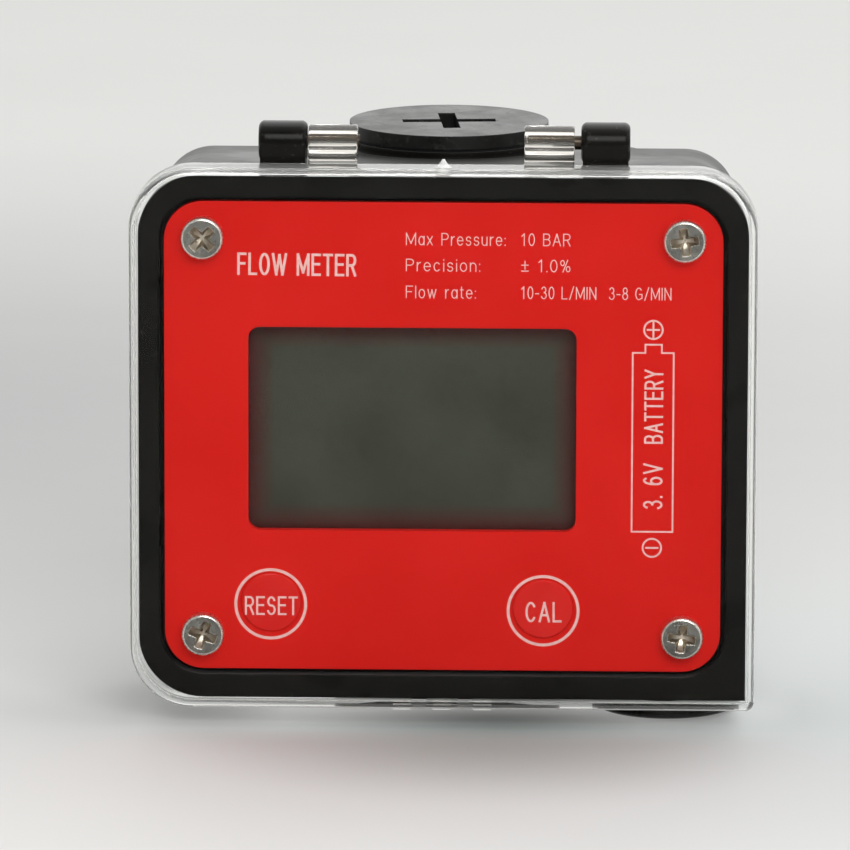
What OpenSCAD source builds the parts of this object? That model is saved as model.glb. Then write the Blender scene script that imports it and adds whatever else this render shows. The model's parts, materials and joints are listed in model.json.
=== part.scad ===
// In-line digital flow meter: a moulded body with a vertical flow bore, a display box on its front,
// a hinged clear cover over the display, a threaded battery tube and a turbine in the bore.
// Frame: origin at the centre of the inlet port's mouth, +Z along the flow, -Y towards the reader.

/* [Display box] */
// Width of the display box
box_w = 87.2; // [84:0.1:90]
// Height of the display box
box_h = 76.2; // [74:0.1:80]
// Depth of the display box, front rim to back
box_d = 34.5; // [32:0.1:36]
// Draft of the box: how far each side leans in from the cover's skirt to the back
box_draft = 1.7; // [1:0.1:2]
// Corner radius of three of the box's corners; the corner at the battery is square
box_r = 9.3; // [6:0.1:12]
// Height of the box's underside above the inlet port's face
box_lift = 4.5; // [4:0.1:6]
// Distance of the front rim from the flow axis
rim_reach = 33.5; // [33:0.1:35]
// Width of the cavity for the electronics
cavity_w = 75.2; // [74:0.1:76]
// Height of the cavity for the electronics
cavity_h = 63.6; // [62:0.1:64]

/* [Face panel] */
// Width of the face panel
panel_w = 79.7; // [78:0.1:80]
// Height of the face panel
panel_h = 68.1; // [67:0.1:69]
// Corner radius of the face panel
panel_r = 5.6; // [4:0.1:8]
// Thickness of the face panel
panel_t = 1.5; // [1:0.1:2]
// Gap between the panel's edge and the rim around it
panel_gap = 0.7; // [0.3:0.1:1]
// Distance between the face screws across
screw_x = 68.7; // [68:0.1:70]
// Distance between the face screws up and down
screw_z = 57.7; // [57:0.1:59]
// Width of the display window
window_w = 46.9; // [44:0.1:48]
// Height of the display window
window_h = 29.6; // [28:0.1:31]
// Corner radius of the display window
window_r = 1.7; // [1:0.1:3]
// Radius of the two button caps
button_r = 4.3; // [4:0.1:4.5]

/* [Clear cover] */
// Wall thickness of the cover's skirt
cover_wall = 0.9; // [0.8:0.05:1.2]
// Thickness of the cover's front plate
cover_plate = 1.2; // [1:0.1:1.5]
// Corner radius of the cover's outside
cover_r = 9.0; // [8:0.1:10]
// Gap between the cover's skirt and the box
cover_gap = 0.25; // [0.2:0.05:0.3]
// Radius of the box's hinge knuckles
knuckle_r = 2.95; // [2.8:0.05:3.1]
// Length of each hinge knuckle
knuckle_w = 7.0; // [6:0.1:8]
// Radius of the cover's hinge knuckles
clear_knuckle_r = 2.4; // [2.2:0.05:2.6]
// Radius of the hinge pins
pin_r = 1.0; // [0.8:0.05:1.1]

/* [Flow body] */
// Wall radius of the ports, the tapping size of a G3/4 thread
port_r = 12.06; // [12:0.01:12.1]
// Depth of the port threads
port_depth = 16; // [14:1:17]
// Outer radius of the flow pipe
pipe_r = 16.5; // [16:0.1:18]
// Radius of the bore that holds the turbine
bore_r = 10.6; // [10:0.1:11]
// Width of the block around the pipe
block_w = 56; // [54:1:60]
// Height of the block around the pipe
block_h = 70; // [66:1:71]
// Distance of the block's back from the flow axis
block_back = 12; // [11:0.5:14]
// Radius of the port plug's flange
plug_r = 14.5; // [14:0.1:15]

/* [Battery] */
// Distance of the battery's axis to the right of the flow axis
battery_x = 32.1; // [32:0.1:32.2]
// Radius of the cell
cell_r = 7.25; // [7:0.05:7.3]
// Length of the cell's body
cell_l = 49.3; // [48:0.1:49.5]
// Radius of the battery cap
cap_r = 10.65; // [10:0.05:10.8]

/* [Hidden] */
$fn = 48;
RIM_Y = -rim_reach;
BACK_Y = RIM_Y + box_d;
MID_Z = box_lift + box_h / 2;
TOP_Z = box_lift + box_h;
PANEL_SUNK = 0.7;
PANEL_Y = RIM_Y + PANEL_SUNK;
SEAL_Y = PANEL_Y + panel_t;
SEAL_T = 0.8;
SEAT_Y = SEAL_Y + SEAL_T;
BACK_WALL = 2.2;
FLOOR_Y = BACK_Y - BACK_WALL;
CAVITY_R = 4;
WINDOW_X = -4.4;
WINDOW_Z = 1.1;
RESET_POS = [-24.6, -24.25];
CAL_POS = [14.4, -24.95];
RUN = 0.05;

// Screws: radius of the shank, the pilot hole and the clearance hole
M3_R = 1.5;
M3_PILOT = 1.55;
M3_CLEAR = 1.7;
M3_LONG = 4.9;
M2_R = 1.0;
M2_PILOT = 1.05;
M2_CLEAR = 1.2;
BOSS_R = 3.3;
SCREW_TURNS = [45, 78, 20, 8];
SCREW_HEAD_R = 3.0;
SCREW_HEAD_T = 1.9;
BOARD_BOSS_R = 2.4;

// Electronics, by depth from the panel's back
PANE_T = 1.0;
GLASS_Y = SEAL_Y + PANE_T + 0.2;
GLASS_T = 2.0;
GLASS_W = 50;
GLASS_H = 33;
STRIP_T = 5.5;
STRIP_L = 46;
STRIP_W = 2;
BOARD_Y = GLASS_Y + GLASS_T + STRIP_T;
BOARD_T = 1.6;
BOARD_LEFT = -36.8;
BOARD_RIGHT = 22.4;
BOARD_H = 61;
BOARD_SCREWS = [[-33, -14], [-33, 14], [-5, -26.5], [-5, 26.5]];
SWITCH_T = 3.5;
PLUNGER_R = 1.7;

// Cover and hinge
COVER_PROUD = 2.7;
SKIRT_REACH = 2.5;
COVER_FRONT = RIM_Y - COVER_PROUD;
COVER_BACK = RIM_Y + SKIRT_REACH;
SIDE = cover_gap + cover_wall;
AXIS_Y = COVER_BACK + 0.3 + knuckle_r;
AXIS_RISE = 41.9;
AXIS_Z = MID_Z + AXIS_RISE;
KNUCKLE_IN = 19.5;
COVER_SHIFT = -0.15;
PAD_W = 2.6;
LATCH_SLOT_W = 2.1;

// Outlet port: the raised ring around it, and the plug with its gasket, neck and slot
PORT_BOSS_R = 14.6;
PLUG_T = 2.0;
PLUG_GAP = 0.4;
PLUG_BORE = 9.4;
PLUG_SLOT_L = 13.6;
PLUG_SLOT_W = 2.5;

// Turbine cartridge, from the inlet up
SPIDER_H = 5;
RING_Z = port_depth + 0.6;
STRAINER_Z = RING_Z + 1.2;
LOWER_Z = STRAINER_Z + 3;
SLEEVE_Z = LOWER_Z + SPIDER_H;
UPPER_Z = SLEEVE_Z + 18.2;
STEP_Z = UPPER_Z + SPIDER_H;
CART_R = bore_r - 0.1;
ROTOR_Z = SLEEVE_Z + 4;
ROTOR_H = 10;
HUB_R = 4;
BLADES = 6;
BLADE_TIP_R = 9.1;
BLADE_PITCH = 38;
SHAFT_R = 1.0;
BEARING_R = 2.0;
BEARING_H = 4.5;
MAGNET_X = 7.4;
MAGNET_R = 1.05;

// Battery tube
BATTERY_Y = PANEL_Y + 15;
TUBE_R = 9.0;
TUBE_TOP = 66;
TUBE_BORE = cell_r + 0.35;
CAP_Z = 0.3;
CAP_SEAL_T = 0.6;
CAP_NECK_R = 8.0;
CAP_NECK_TOP = 12;
CAP_BOSS_R = 10.7;
CELL_Z = CAP_NECK_TOP + 0.6;
CELL_TOP = CELL_Z + cell_l;
CELL_PIP_R = 2.7;
CELL_PIP_H = 1.2;
TERMINAL_R = 5;
TERMINAL_T = 0.4;
SPRING_TURNS = 3;
SPRING_STEPS = 16;
SPRING_SIDES = 8;
SPRING_WIRE = 0.3;
SPRING_H = 3.9;
SPRING_R = 5.4;
SPRING_NARROWS = 2.2;

// ---- helpers ----

// Extrudes an outline drawn across (x, z) from depth y0 to depth y0 + t.
module slab(y0, t) {
  translate([0, y0 + t, 0]) rotate([90, 0, 0]) linear_extrude(height = t) children();
}

// A rectangle centred on the origin with rounded corners.
module round_rect(w, h, r) {
  square([w - 2 * r, h], center = true);
  square([w, h - 2 * r], center = true);
  for (x = [-1, 1], z = [-1, 1]) translate([x * (w / 2 - r), z * (h / 2 - r)]) circle(r);
}

// The box's outline: rounded, but square at the lower right, where the battery cap sits.
module box_outline(w, h, r) {
  translate([0, MID_Z]) {
    round_rect(w, h, r);
    translate([w / 2 - r, -h / 2]) square([r, r]);
  }
}

module at_screws() {
  for (x = [-1, 1], z = [-1, 1]) translate([x * screw_x / 2, 0, MID_Z + z * screw_z / 2]) children();
}

// A cylinder along +Y from depth y0 to y0 + h.
module rod_y(r, y0, h) {
  translate([0, y0, 0]) rotate([-90, 0, 0]) cylinder(r = r, h = h);
}

// A cylinder along X, centred on x = 0, with its ends rounded by e.
module rounded_rod_x(r, w, e) {
  rotate([0, 90, 0]) rotate_extrude() {
    translate([0, -w / 2]) square([r - e, w]);
    translate([0, e - w / 2]) square([r, w - 2 * e]);
    for (z = [-1, 1]) intersection() {
      translate([r - e, z * (w / 2 - e)]) circle(e);
      translate([0, -w]) square([r, 2 * w]);
    }
  }
}

module at(pos) {
  translate([pos[0], 0, MID_Z + pos[1]]) children();
}

module ring(outer, inner, h) {
  difference() {
    cylinder(r = outer, h = h);
    translate([0, 0, -1]) cylinder(r = inner, h = h + 2);
  }
}

// ---- body ----

// The box behind the cover's skirt: straight sides and conical corners that lean in towards the back.
module drafted_box() {
  long = BACK_Y - COVER_BACK;
  across = [[-box_w / 2, 0], [box_w / 2, 0], [box_w / 2 - box_draft, long], [box_draft - box_w / 2, long]];
  upright = [[0, -box_h / 2], [0, box_h / 2], [long, box_h / 2 - box_draft], [long, box_draft - box_h / 2]];
  translate([0, COVER_BACK, MID_Z]) {
    linear_extrude(height = box_h - 2 * box_r, center = true) polygon(across);
    rotate([90, 0, 90]) linear_extrude(height = box_w - 2 * box_r, center = true) polygon(upright);
    for (s = [[-1, -1], [-1, 1], [1, 1]])
      translate([s[0] * (box_w / 2 - box_r), 0, s[1] * (box_h / 2 - box_r)])
        rotate([-90, 0, 0]) cylinder(r1 = box_r, r2 = box_r - box_draft, h = long);
    intersection() {
      linear_extrude(height = box_h, center = true) polygon(across);
      rotate([90, 0, 90]) linear_extrude(height = box_w) polygon(upright);
      translate([0, 0, -box_h / 2]) cube([box_w, long, box_h / 2]);
    }
  }
}

module display_shell() {
  difference() {
    union() {
      slab(RIM_Y, COVER_BACK - RIM_Y) box_outline(box_w, box_h, box_r);
      drafted_box();
    }
    slab(RIM_Y - 1, SEAT_Y - RIM_Y + 1) translate([0, MID_Z])
      round_rect(panel_w + 2 * panel_gap, panel_h + 2 * panel_gap, panel_r + panel_gap);
    slab(SEAT_Y - 1, FLOOR_Y - SEAT_Y + 1) translate([0, MID_Z]) round_rect(cavity_w, cavity_h, CAVITY_R);
  }
}

// The block stands behind the box, with rounded upright edges and a pipe through it.
module flow_body() {
  edge = 5;
  deep = block_back - BACK_Y + 1;
  translate([0, BACK_Y - 1, MID_Z - block_h / 2]) linear_extrude(height = block_h) {
    translate([-block_w / 2, 0]) square([block_w, deep - edge]);
    translate([edge - block_w / 2, 0]) square([block_w - 2 * edge, deep]);
    for (s = [-1, 1]) translate([s * (block_w / 2 - edge), deep - edge]) circle(edge);
  }
  cylinder(r = pipe_r, h = TOP_Z - box_draft);
  cylinder(r = PORT_BOSS_R, h = TOP_Z);
}

// The box's two knuckles, each on a foot that joins it to the box's top.
module box_knuckles() {
  for (s = [-1, 1]) translate([s * (KNUCKLE_IN + knuckle_w / 2), AXIS_Y, AXIS_Z]) {
    rounded_rod_x(knuckle_r, knuckle_w, 0.9);
    foot = AXIS_Z - TOP_Z + 0.6;
    translate([-knuckle_w / 2 + 0.25, -knuckle_r, -foot]) cube([knuckle_w - 0.5, 2 * knuckle_r, foot]);
  }
}

// Ribs on the block's back and an arrow that shows the flow.
module back_relief() {
  for (z = [-24, -8, 8, 24]) translate([-block_w / 2 + 6, 0, MID_Z + z - 0.9])
    cube([block_w - 12, block_back + 1.6, 1.8]);
  for (s = [-1, 1]) translate([s * 21.5, 0, MID_Z]) slab(block_back - 0.5, 1.1) {
    translate([-1, -6.4]) square([2, 8]);
    polygon([[-3, 1.2], [3, 1.2], [0, 6.2]]);
  }
}

module main_housing() color("#1d1c1b") difference() {
  union() {
    display_shell();
    flow_body();
    back_relief();
    box_knuckles();
    at_screws() rod_y(BOSS_R, SEAL_Y, FLOOR_Y - SEAL_Y + 1);
    for (p = BOARD_SCREWS) at(p) rod_y(BOARD_BOSS_R, BOARD_Y + BOARD_T, FLOOR_Y - BOARD_Y - BOARD_T + 1);
    translate([battery_x, BATTERY_Y, box_lift]) {
      cylinder(r = TUBE_R, h = TUBE_TOP - box_lift);
      cylinder(r = CAP_BOSS_R, h = 7);
    }
  }
  at_screws() rod_y(M3_PILOT, SEAL_Y - 1, M3_LONG + 0.2);
  for (p = BOARD_SCREWS) at(p) rod_y(M2_PILOT, BOARD_Y, 5);
  // flow path
  translate([0, 0, -1]) cylinder(r = port_r, h = port_depth + 1);
  translate([0, 0, 1]) cylinder(r = bore_r, h = STEP_Z - 1);
  translate([0, 0, 1]) cylinder(r = bore_r - 1.2, h = TOP_Z - 2);
  translate([0, 0, TOP_Z - port_depth]) cylinder(r = port_r, h = port_depth + 1);
  translate([0, 0, RING_Z]) cylinder(r = bore_r + 0.8, h = 1.2);
  // battery
  translate([battery_x, BATTERY_Y, 0]) {
    cylinder(r = CAP_NECK_R + RUN, h = CAP_NECK_TOP + 1);
    cylinder(r = TUBE_BORE, h = CELL_TOP + 2);
  }
  for (s = [-1, 1]) translate([s * (KNUCKLE_IN - 1), AXIS_Y, AXIS_Z])
    rotate([0, s * 90, 0]) cylinder(r = pin_r, h = knuckle_w);
}

// ---- face ----

module panel_gasket() color("#2b2b2b") slab(SEAL_Y, SEAL_T) translate([0, MID_Z]) difference() {
  round_rect(panel_w - 0.6, panel_h - 0.6, panel_r - 0.3);
  round_rect(cavity_w, cavity_h, CAVITY_R);
  for (x = [-1, 1], z = [-1, 1]) translate([x * screw_x / 2, z * screw_z / 2]) circle(BOSS_R + 0.1);
}

module face_panel() color("#cf261f") slab(PANEL_Y, panel_t) translate([0, MID_Z]) difference() {
  round_rect(panel_w, panel_h, panel_r);
  translate([WINDOW_X, WINDOW_Z]) round_rect(window_w, window_h, window_r);
  for (p = [RESET_POS, CAL_POS]) translate(p) circle(button_r + 0.1);
  for (x = [-1, 1], z = [-1, 1]) translate([x * screw_x / 2, z * screw_z / 2]) circle(M3_CLEAR);
}

// A pan-head screw that points into +Y, with its head in front of y = 0 and a cross recess.
module pan_screw(shank_r, long, head_r, head_t, turn) {
  edge = head_t * 0.55;
  difference() {
    union() {
      rod_y(shank_r, 0, long);
      rotate([90, 0, 0]) rotate_extrude() {
        square([head_r, head_t - edge]);
        square([head_r - edge, head_t]);
        intersection() {
          translate([head_r - edge, head_t - edge]) circle(edge);
          square([head_r, head_t]);
        }
      }
    }
    rotate([0, turn, 0]) for (a = [0, 90]) rotate([0, a, 0])
      translate([-head_r * 0.65, -head_t - 1, -head_r * 0.17])
        cube([head_r * 1.3, 1 + head_t * 0.6, head_r * 0.34]);
    rod_y(head_r * 0.3, -head_t - 1, 1 + head_t * 0.85);
  }
}

module face_screws() color("#b9b5aa") {
  for (i = [0:3]) translate([(i % 2 - 0.5) * screw_x, PANEL_Y, MID_Z + (0.5 - floor(i / 2)) * screw_z])
    pan_screw(M3_R, M3_LONG, SCREW_HEAD_R, SCREW_HEAD_T, SCREW_TURNS[i]);
}

module lcd_window() color("#9fa39a") slab(SEAL_Y, PANE_T) translate([WINDOW_X, MID_Z + WINDOW_Z])
  round_rect(window_w + 4, window_h + 4, 1);

module lcd_glass() color("#4a4b42") slab(GLASS_Y, GLASS_T) translate([WINDOW_X, MID_Z + WINDOW_Z])
  square([GLASS_W, GLASS_H], center = true);

// The frame holds the glass in front of the board.
module lcd_frame() color("#e8e6df") translate([WINDOW_X, 0, MID_Z + WINDOW_Z]) {
  slab(GLASS_Y, BOARD_Y - GLASS_Y) difference() {
    square([GLASS_W + 2.8, GLASS_H + 2.8], center = true);
    square([GLASS_W + 0.4, GLASS_H + 0.4], center = true);
  }
}

module zebra_strips() color("#d98aa0") translate([WINDOW_X, 0, MID_Z + WINDOW_Z])
  for (s = [-1, 1]) translate([-STRIP_L / 2, GLASS_Y + GLASS_T, s * 14.6 - STRIP_W / 2])
    cube([STRIP_L, STRIP_T, STRIP_W]);

// ---- electronics ----

// The board is notched around the screw bosses at its left and around the battery tube's right.
module main_board() color("#2f6b3c") slab(BOARD_Y, BOARD_T) translate([0, MID_Z]) difference() {
  translate([BOARD_LEFT, -BOARD_H / 2]) square([BOARD_RIGHT - BOARD_LEFT, BOARD_H]);
  for (s = [-1, 1]) translate([BOARD_LEFT - 1, s * (BOARD_H / 2 - 3) - 4]) square([7.4, 8]);
  for (p = BOARD_SCREWS) translate(p) circle(M2_CLEAR);
}

module board_screws() color("#c8c6c0") for (p = BOARD_SCREWS) at(p) translate([0, BOARD_Y, 0])
  pan_screw(M2_R, 4.6, 1.9, 1.2, 30 + p[1]);

module controller_chip() color("#222222") translate([-6, BOARD_Y, MID_Z + 2]) {
  translate([-5, -1.4, -5]) cube([10, 1.3, 10]);
  for (a = [0:90:270], i = [-3:3]) rotate([0, a, 0]) translate([4.9, -0.7, i * 1.2 - 0.2])
    cube([1.5, 0.7, 0.4]);
}

// The reed capsule on the back of the board faces the turbine's magnets through the pipe wall.
module pulse_sensor() color("#b8c4b0") translate([0, BOARD_Y + BOARD_T, ROTOR_Z + ROTOR_H / 2]) {
  translate([-1.6, 0, -6]) cube([3.2, 1.2, 12]);
  translate([0, 2.1, -5]) cylinder(r = 1.2, h = 10);
}

module board_capacitor() color("#30343c") translate([-27, BOARD_Y + BOARD_T, MID_Z]) {
  rod_y(3.1, 0.6, 5);
  rod_y(2.6, 0, 0.7);
}

module push_switch(pos) {
  at(pos) difference() {
    translate([-3, BOARD_Y - SWITCH_T, -3]) cube([6, SWITCH_T, 6]);
    rod_y(PLUNGER_R + RUN, BOARD_Y - SWITCH_T - 1, 2.6);
  }
}

module plunger(pos) {
  at(pos) rod_y(PLUNGER_R, BOARD_Y - SWITCH_T - 1.7, 2.6);
}

// A round cap that stands through the panel, with a flange behind it and a stem down to the switch.
module push_button(pos) {
  edge = 0.3;
  proud = 0.3;
  at(pos) translate([0, PANEL_Y - proud, 0]) rotate([-90, 0, 0]) rotate_extrude() {
    stem = BOARD_Y - SWITCH_T - 1.7 - PANEL_Y + proud;
    translate([0, edge]) square([button_r, panel_t + proud + 0.4 - edge]);
    square([button_r - edge, 1]);
    intersection() {
      translate([button_r - edge, edge]) circle(edge);
      square([button_r, edge]);
    }
    translate([0, panel_t + proud + 0.1]) square([5.2, 0.7]);
    square([1.9, stem]);
  }
}

module reset_switch() color("#3a3a3a") push_switch(RESET_POS);
module cal_switch() color("#3a3a3a") push_switch(CAL_POS);
module reset_plunger() color("#111111") plunger(RESET_POS);
module cal_plunger() color("#111111") plunger(CAL_POS);
module reset_button() color("#d4271f") push_button(RESET_POS);
module cal_button() color("#d4271f") push_button(CAL_POS);

// ---- clear cover ----

// The outline of the cover, a set distance outside the box.
module cover_outline(out) {
  box_outline(box_w + 2 * out, box_h + 2 * out, cover_r - SIDE + out);
}

// A knuckle with a web that joins it to the skirt.
module cover_knuckle() {
  web_low = TOP_Z + cover_gap;
  rotate([0, 90, 0]) cylinder(r = clear_knuckle_r, h = knuckle_w - 0.3, center = true);
  translate([-knuckle_w / 2 + 0.15, COVER_BACK - 0.6 - AXIS_Y, web_low - AXIS_Z])
    cube([knuckle_w - 0.3, AXIS_Y - COVER_BACK + 0.6, AXIS_Z - web_low]);
}

module clear_cover() color("#dfe6e6", 0.35) difference() {
  union() {
    difference() {
      slab(COVER_FRONT, COVER_BACK - COVER_FRONT) cover_outline(SIDE);
      slab(COVER_FRONT + cover_plate, box_d) cover_outline(cover_gap);
    }
    for (s = [-1, 1]) translate([s * (KNUCKLE_IN - knuckle_w / 2 - 0.45) + COVER_SHIFT, AXIS_Y, AXIS_Z])
      cover_knuckle();
    // moulding gate on the top edge
    translate([0, COVER_FRONT + 2.6, TOP_Z + SIDE - 0.1]) cylinder(r1 = 1.2, r2 = 0.15, h = 1.2);
    // finger pads of the latch under the bottom edge
    for (x = [-5.8, 0, 5.8]) translate([x - PAD_W / 2, COVER_FRONT + 1, box_lift - SIDE - 0.25])
      cube([PAD_W, COVER_BACK - COVER_FRONT - 1, 0.5]);
  }
  // slots that free the latch tongue
  for (s = [-1, 1])
    translate([s * 3.3 - LATCH_SLOT_W / 2, COVER_FRONT + cover_plate + 0.6, box_lift - SIDE - 1])
      cube([LATCH_SLOT_W, box_d, SIDE + 1]);
  translate([0, AXIS_Y, AXIS_Z]) rotate([0, 90, 0])
    cylinder(r = pin_r + RUN, h = 2 * KNUCKLE_IN, center = true);
}

module hinge_pin(s) {
  inner = KNUCKLE_IN - knuckle_w - 0.4;
  translate([s * inner, AXIS_Y, AXIS_Z]) rotate([0, s * 90, 0])
    cylinder(r = pin_r, h = KNUCKLE_IN + knuckle_w - 1 - inner);
}

module hinge_pin_left() color("#b59a6a") hinge_pin(-1);
module hinge_pin_right() color("#b59a6a") hinge_pin(1);

// ---- battery ----

module at_battery(z) {
  translate([battery_x, BATTERY_Y, z]) children();
}

module battery() color("#3f7a52") at_battery(CELL_Z) {
  cylinder(r = cell_r, h = cell_l);
  cylinder(r = CELL_PIP_R, h = cell_l + CELL_PIP_H);
}

module battery_terminal() color("#c9b878") at_battery(CELL_TOP + CELL_PIP_H)
  cylinder(r = TERMINAL_R, h = TERMINAL_T);

// Points around the wire at step i of the coil, which gets narrower towards the cell.
function spring_ring(i) =
  let (a = 360 * i / SPRING_STEPS, u = i / (SPRING_TURNS * SPRING_STEPS), r = SPRING_R - SPRING_NARROWS * u)
    [for (j = [0:SPRING_SIDES - 1]) let (b = 360 * j / SPRING_SIDES, q = r + SPRING_WIRE * cos(b))
      [q * cos(a), q * sin(a), u * SPRING_H + SPRING_WIRE * sin(b)]];

module battery_spring() color("#c4c2bb") at_battery(CAP_NECK_TOP - 3.7) {
  last = SPRING_TURNS * SPRING_STEPS;
  points = [for (i = [0:last], p = spring_ring(i)) p];
  sides = [for (i = [0:last - 1], j = [0:SPRING_SIDES - 1])
    let (k = (j + 1) % SPRING_SIDES, a = i * SPRING_SIDES, b = a + SPRING_SIDES)
      [a + j, a + k, b + k, b + j]];
  ends = [[for (j = [SPRING_SIDES - 1:-1:0]) j], [for (j = [0:SPRING_SIDES - 1]) last * SPRING_SIDES + j]];
  polyhedron(points = points, faces = concat(sides, ends), convexity = 6);
}

module battery_cap_seal() color("#1b1b1b") at_battery(box_lift - CAP_SEAL_T)
  ring(9.9, CAP_NECK_R + 0.1, CAP_SEAL_T);

// A round cap with a rounded lower edge, a coin slot and a hollow threaded neck.
module battery_cap() color("#201f1e") at_battery(CAP_Z) difference() {
  head = box_lift - CAP_SEAL_T - CAP_Z;
  edge = 1.0;
  union() {
    rotate_extrude() {
      translate([0, edge]) square([cap_r, head - edge]);
      square([cap_r - edge, head]);
      intersection() {
        translate([cap_r - edge, edge]) circle(edge);
        square([cap_r, edge]);
      }
    }
    cylinder(r = CAP_NECK_R, h = CAP_NECK_TOP - CAP_Z);
  }
  translate([-7.5, -1, -1]) cube([15, 2, 2.6]);
  translate([0, 0, CAP_NECK_TOP - CAP_Z - 4]) cylinder(r = 6.2, h = 5);
}

// ---- flow parts ----

// The plug: a flange with a cross slot, on a hollow threaded neck.
module port_plug() color("#242322") translate([0, 0, TOP_Z + PLUG_GAP]) difference() {
  union() {
    cylinder(r = plug_r, h = PLUG_T);
    translate([0, 0, 0.2 - port_depth]) cylinder(r = port_r - RUN, h = port_depth);
  }
  translate([0, 0, -port_depth]) cylinder(r = PLUG_BORE, h = port_depth - 3.4);
  for (a = [5, 95]) rotate([0, 0, a]) translate([-PLUG_SLOT_L / 2, -PLUG_SLOT_W / 2, -1])
    cube([PLUG_SLOT_L, PLUG_SLOT_W, PLUG_T + 2]);
}

module port_plug_gasket() color("#161616") translate([0, 0, TOP_Z]) ring(14.1, port_r + 0.15, PLUG_GAP);

module retaining_ring() color("#bdbdbd") translate([0, 0, RING_Z]) difference() {
  ring(bore_r + 0.7, 9.2, 1.15);
  translate([0, 6, -1]) cube([3, 20, 4], center = true);
}

module inlet_strainer() color("#d9d6cf") translate([0, 0, STRAINER_Z]) {
  ring(CART_R, 9.0, 2.9);
  intersection() {
    cylinder(r = 9.4, h = 1);
    for (i = [-3:3], a = [0, 90]) rotate([0, 0, a]) translate([-10, i * 2.4 - 0.4, a / 90 * 0.6])
      cube([20, 0.8, 0.8]);
  }
}

// A spider: three vanes between a hub, which holds a bearing, and a ring.
module spider(z, h) {
  translate([0, 0, z]) difference() {
    union() {
      ring(CART_R, 9.3, h);
      cylinder(r = 3.2, h = h);
      for (a = [0, 120, 240]) rotate([0, 0, a]) translate([0, -0.6, 0]) cube([9.8, 1.2, h]);
    }
    translate([0, 0, -1]) cylinder(r = BEARING_R, h = h + 2);
  }
}

module lower_spider() color("#3c3c3c") spider(LOWER_Z, SPIDER_H);
module upper_spider() color("#3c3c3c") spider(UPPER_Z, SPIDER_H);
module rotor_sleeve() color("#55534f") translate([0, 0, SLEEVE_Z]) ring(CART_R, 9.6, UPPER_Z - SLEEVE_Z);

module bearing(z) {
  translate([0, 0, z]) ring(BEARING_R, SHAFT_R + RUN, BEARING_H);
}

module lower_bearing() color("#8f6b3a") bearing(LOWER_Z + 0.5);
module upper_bearing() color("#8f6b3a") bearing(UPPER_Z);

module turbine_rotor() color("#e9e7e1") translate([0, 0, ROTOR_Z]) difference() {
  union() {
    cylinder(r = HUB_R, h = ROTOR_H);
    intersection() {
      cylinder(r = BLADE_TIP_R, h = ROTOR_H);
      for (i = [0:BLADES - 1]) rotate([0, 0, i * 360 / BLADES]) translate([3, 0, ROTOR_H / 2])
        rotate([BLADE_PITCH, 0, 0]) translate([0, -0.6, -8]) cube([7, 1.2, 16]);
    }
    for (s = [-1, 1]) translate([s * MAGNET_X, 0, ROTOR_H / 2 - 1.6]) cylinder(r = 1.6, h = 3.2);
  }
  translate([0, 0, -1]) cylinder(r = SHAFT_R, h = ROTOR_H + 2);
  for (s = [-1, 1]) translate([s * MAGNET_X, 0, ROTOR_H / 2 - 1]) cylinder(r = MAGNET_R, h = 3);
}

module rotor_shaft() color("#c9c9c6") translate([0, 0, LOWER_Z + 1])
  cylinder(r = SHAFT_R, h = UPPER_Z - LOWER_Z + 3);

module rotor_magnets() color("#77787a") for (s = [-1, 1])
  translate([s * MAGNET_X, 0, ROTOR_Z + ROTOR_H / 2 - 1]) cylinder(r = MAGNET_R, h = 2.4);

main_housing();
panel_gasket();
face_panel();
face_screws();
lcd_window();
lcd_glass();
lcd_frame();
zebra_strips();
main_board();
board_screws();
controller_chip();
pulse_sensor();
board_capacitor();
reset_switch();
reset_plunger();
reset_button();
cal_switch();
cal_plunger();
cal_button();
clear_cover();
hinge_pin_left();
hinge_pin_right();
battery();
battery_terminal();
battery_spring();
battery_cap_seal();
battery_cap();
port_plug();
port_plug_gasket();
retaining_ring();
inlet_strainer();
lower_spider();
rotor_sleeve();
upper_spider();
lower_bearing();
upper_bearing();
turbine_rotor();
rotor_shaft();
rotor_magnets();
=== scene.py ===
# Looks of an in-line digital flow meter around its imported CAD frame.
# Units are metres: X to the right, -Y towards the reader, Z up.
import json
import math

import bmesh
import bpy
from mathutils import Matrix, Vector


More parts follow.
